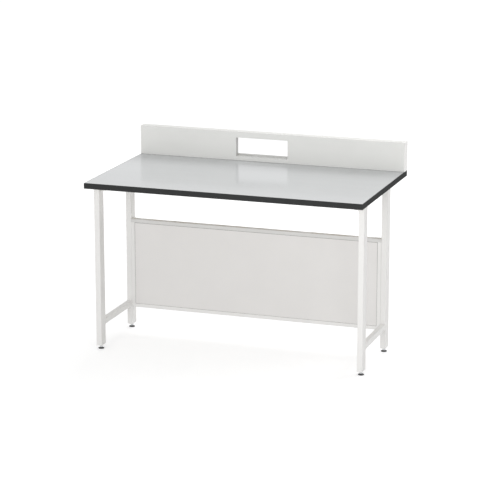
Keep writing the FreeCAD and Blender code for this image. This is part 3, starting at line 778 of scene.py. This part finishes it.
# ---------------------------------------------------------------- weld beads
def rippled(distance):
    """Reach of a bead at each distance along it, as a share of its full reach: a row of scallops
    with a tenth taken off between them."""
    return 0.9 + 0.1 * np.abs(np.sin(math.pi * distance / BEAD_RIPPLE)) ** 0.7


def tapered(at, length, least):
    """Size of a bead along its run, as a share: the distance from the nearer end over length, but
    never under least and never over 1."""
    return np.clip(np.minimum(at, at[-1] - at) / length, least, 1)


def make_stretcher_bead(side, end):
    """Bead round the joint of a stretcher and a leg. Its path is the stretcher's outline; across
    it, a half-round whose reach is the fillet's leg over and under the tube and almost nothing
    where the tube is flush with the leg's sides."""
    low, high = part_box("stretcher_" + side)
    towards = 1 if end == "front" else -1            # from the leg's face along the stretcher
    face = low.y if end == "front" else high.y
    half = (high.x - low.x) / 2
    middle = ((low.x + high.x) / 2, face, (low.z + high.z) / 2)
    outline, at = evenly(rounded_rectangle(half, half, TUBE_RADIUS), BEAD_RIPPLE / 6, closed=True)
    flush = np.clip(np.abs(outward_from(outline)[:, :1]) * 1.4 - 0.4, 0, 1)
    reach = (BEAD_LEG * (1 - flush) + BEAD_FLUSH * flush) * rippled(at)[:, None]
    turn = around(14)
    out = np.maximum(reach * np.sin(turn), -1.6 * MM)
    along = np.maximum(BEAD_LEG * 0.9 * np.cos(turn), -1.0 * MM - 1.2 * MM * flush)
    return shell(carried_round(outline, middle, out, towards * along), looped=True)


def make_arm_bead(side, end):
    """Bead of an arm on the inside of a leg: down one edge of the leg, along the arm's underside
    and up the other edge. Across that path lies an ellipse, wide along X and low out from the
    path, which shrinks towards the bead's closed ends."""
    leg_low, leg_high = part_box(f"{end}_leg_{side}")
    arm_low, arm_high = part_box("arm_" + side)
    towards = -SIDES[side]                           # from the leg to the arm
    plane = leg_low.x if side == "right" else leg_high.x
    front, rear = leg_low.y, leg_high.y
    under, top = arm_low.z, arm_high.z - 1.0 * MM
    bend = 2.0 * MM
    quarter = np.linspace(0, math.pi / 2, 8)
    grow, shrink = bend * (1 - np.cos(quarter)), bend * (1 - np.sin(quarter))
    path = np.vstack([[front, top], np.stack([front + grow, under + shrink], 1),
                      np.stack([rear - shrink, under + grow], 1), [rear, top]])
    path, at = evenly(path, BEAD_RIPPLE / 6)
    normal = right_of(np.gradient(path, axis=0))
    reach = (BEAD_LEG * rippled(at) * tapered(at, 2 * MM, 0.3))[:, None]
    turn = around(14)
    out = reach * (0.35 * np.sin(turn) + 0.1)
    rings = np.empty((*out.shape, 3))
    rings[..., 0] = plane + towards * reach * (0.85 * np.cos(turn))
    rings[..., 1] = path[:, :1] + normal[:, :1] * out
    rings[..., 2] = path[:, 1:] + normal[:, 1:] * out
    return shell(rings)


def make_panel_seam(side, level, face):
    """Ground weld across the panel frame, where a stile meets a rail: a bead of elliptical section
    that fills the groove between their rounded edges and stands 0.2 mm out."""
    low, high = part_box("panel_stile_" + side)
    depth = low.y if face == "front" else high.y
    inward = 1 if face == "front" else -1
    height = high.z if level == "upper" else low.z
    along, at = evenly(np.array([[low.x + 0.6 * MM], [high.x - 0.6 * MM]]), 0.5 * MM)
    size = tapered(at, 0.8 * MM, 0.25)[:, None]
    turn = around(16)
    rings = np.empty((len(along), len(turn), 3))
    rings[..., 0] = along
    rings[..., 1] = depth + inward * (1.15 * MM - 1.35 * MM * size * np.sin(turn))
    rings[..., 2] = height + 2.8 * MM * size * np.cos(turn)
    return shell(rings)


def make_welds():
    """The beads on each side of the frame, one piece for each kind of joint."""
    for side in SIDES:
        beads = {
            "stretcher": [make_stretcher_bead(side, end) for end in ENDS],
            "arm": [make_arm_bead(side, end) for end in ENDS],
            "panel": [make_panel_seam(side, level, face) for level in ("lower", "upper")
                      for face in ENDS],
        }
        for joint, shells in beads.items():
            piece(f"weld_{joint}_{side}", shells, "frame_coat", "bench", crease=60)


make_fasteners()
for place in PLACES:
    make_stud(place)
    make_lock_nut(place)
    make_pad(place)
    make_arm_plug(place)
make_shade_bead()
make_welds()


# ---------------------------------------------------------------- floor, light and camera
WHITE = (1, 1, 1, 1)
FLOOR_SIDE = 60.0
FLOOR_COLOUR = linear(232, 232, 232)
NEAR_GLOW = 0.42                 # what the floor adds for the camera and in reflections near the
FAR_GLOW = 0.56                  # bench, where it has to keep the shadow, and further out
GLOW_RANGE = (2.0, 4.5)          # distances from the bench between which the one becomes the other
AMBIENT = 0.61                   # white light from all round
LAMPS = {
    # name: (place, point it looks at, side of its square, watts, whether gloss shows it)
    "front": ((0.0, -6.5, 1.6), (0.0, 0.0, 0.6), 3.0, 107.0, False),
    "near_right": ((1.6, -2.6, 1.3), (0.6, -0.2, 0.6), 1.0, 10.0, False),
    "behind": ((0.0, 3.2, 3.6), (0.0, 0.0, 0.8), 2.4, 50.0, True),
    "behind_right": ((3.2, 2.6, 3.0), (0.0, 0.1, 0.8), 2.0, 27.0, False),
}
CAMERA_PLACE = (3.5889, -10.3784, 3.3204)
CAMERA_PITCH = math.radians(-14.28)
CAMERA_YAW = math.radians(19.01)
CAMERA_LENS = 154.21             # focal length and width of the sensor, in millimetres
CAMERA_SENSOR = 36.0
CAMERA_SIGHT = 200.0             # how far it sees


def seen_directly(tree):
    """1 for camera, glossy and transmission rays, 0 for the rays that carry the light."""
    path = add(tree, "LightPath").outputs
    both = maths(tree, "ADD", path["Is Camera Ray"], path["Is Glossy Ray"], True)
    return maths(tree, "ADD", both, path["Is Transmission Ray"], True)


def make_floor():
    """A floor that stays under the lowest foot, however far down any of them is screwed. It glows
    only where it is seen, more so far from the bench, where it meets the white background."""
    mesh = bpy.data.meshes.new("floor")
    side = FLOOR_SIDE / 2
    mesh.from_pydata([(-side, -side, 0), (side, -side, 0), (side, side, 0), (-side, side, 0)], [],
                     [(0, 1, 2, 3)])
    material, tree = start_material("floor", Base_Color=FLOOR_COLOUR, Roughness=1.0,
                                    Specular_IOR_Level=0.0, Emission_Color=WHITE)
    away = add(tree, "VectorMath", {0: object_place(tree)}, operation="LENGTH").outputs["Value"]
    glow = spread(tree, away, *GLOW_RANGE, NEAR_GLOW, FAR_GLOW)
    tree.links.new(maths(tree, "MULTIPLY", seen_directly(tree), glow),
                   tree.nodes["Principled BSDF"].inputs["Emission Strength"])
    mesh.materials.append(material)
    floor = bpy.data.objects.new("floor", mesh)
    bpy.context.scene.collection.objects.link(floor)
    for place in PLACES:
        under = floor.constraints.new("FLOOR")
        under.target = frame["bodies"][place + "_pad"]
        under.floor_location = "FLOOR_NEGATIVE_Z"


def make_world():
    """White light from all round, and full white where the background is seen directly."""
    world = bpy.data.worlds.new("studio")
    world.use_nodes = True
    tree = world.node_tree
    background = tree.nodes["Background"]
    background.inputs["Color"].default_value = WHITE
    tree.links.new(spread(tree, seen_directly(tree), 0.0, 1.0, AMBIENT, 1.0),
                   background.inputs["Strength"])
    bpy.context.scene.world = world


def make_lamps():
    """Square soft lamps. Gloss shows only the one behind, because the worktop would mirror the
    others as white patches in views from the rear and the sides."""
    for name, (place, target, side, watts, in_gloss) in LAMPS.items():
        lamp = bpy.data.lights.new(name, "AREA")
        lamp.shape, lamp.size, lamp.energy = "SQUARE", side, watts
        obj = bpy.data.objects.new(name, lamp)
        obj.location = place
        obj.rotation_euler = (Vector(target) - Vector(place)).to_track_quat("-Z", "Y").to_euler()
        obj.visible_glossy = in_gloss
        bpy.context.scene.collection.objects.link(obj)


def make_camera():
    """The camera, tilted down by its pitch and turned to the left by its yaw."""
    lens = bpy.data.cameras.new("camera")
    lens.lens, lens.sensor_width = CAMERA_LENS, CAMERA_SENSOR
    lens.clip_end = CAMERA_SIGHT
    camera = bpy.data.objects.new("camera", lens)
    camera.location = CAMERA_PLACE
    camera.rotation_euler = (math.pi / 2 + CAMERA_PITCH, 0, CAMERA_YAW)
    bpy.context.scene.collection.objects.link(camera)
    bpy.context.scene.camera = camera


make_floor()
make_world()
make_lamps()
make_camera()
bpy.context.scene.view_settings.view_transform = "Standard"
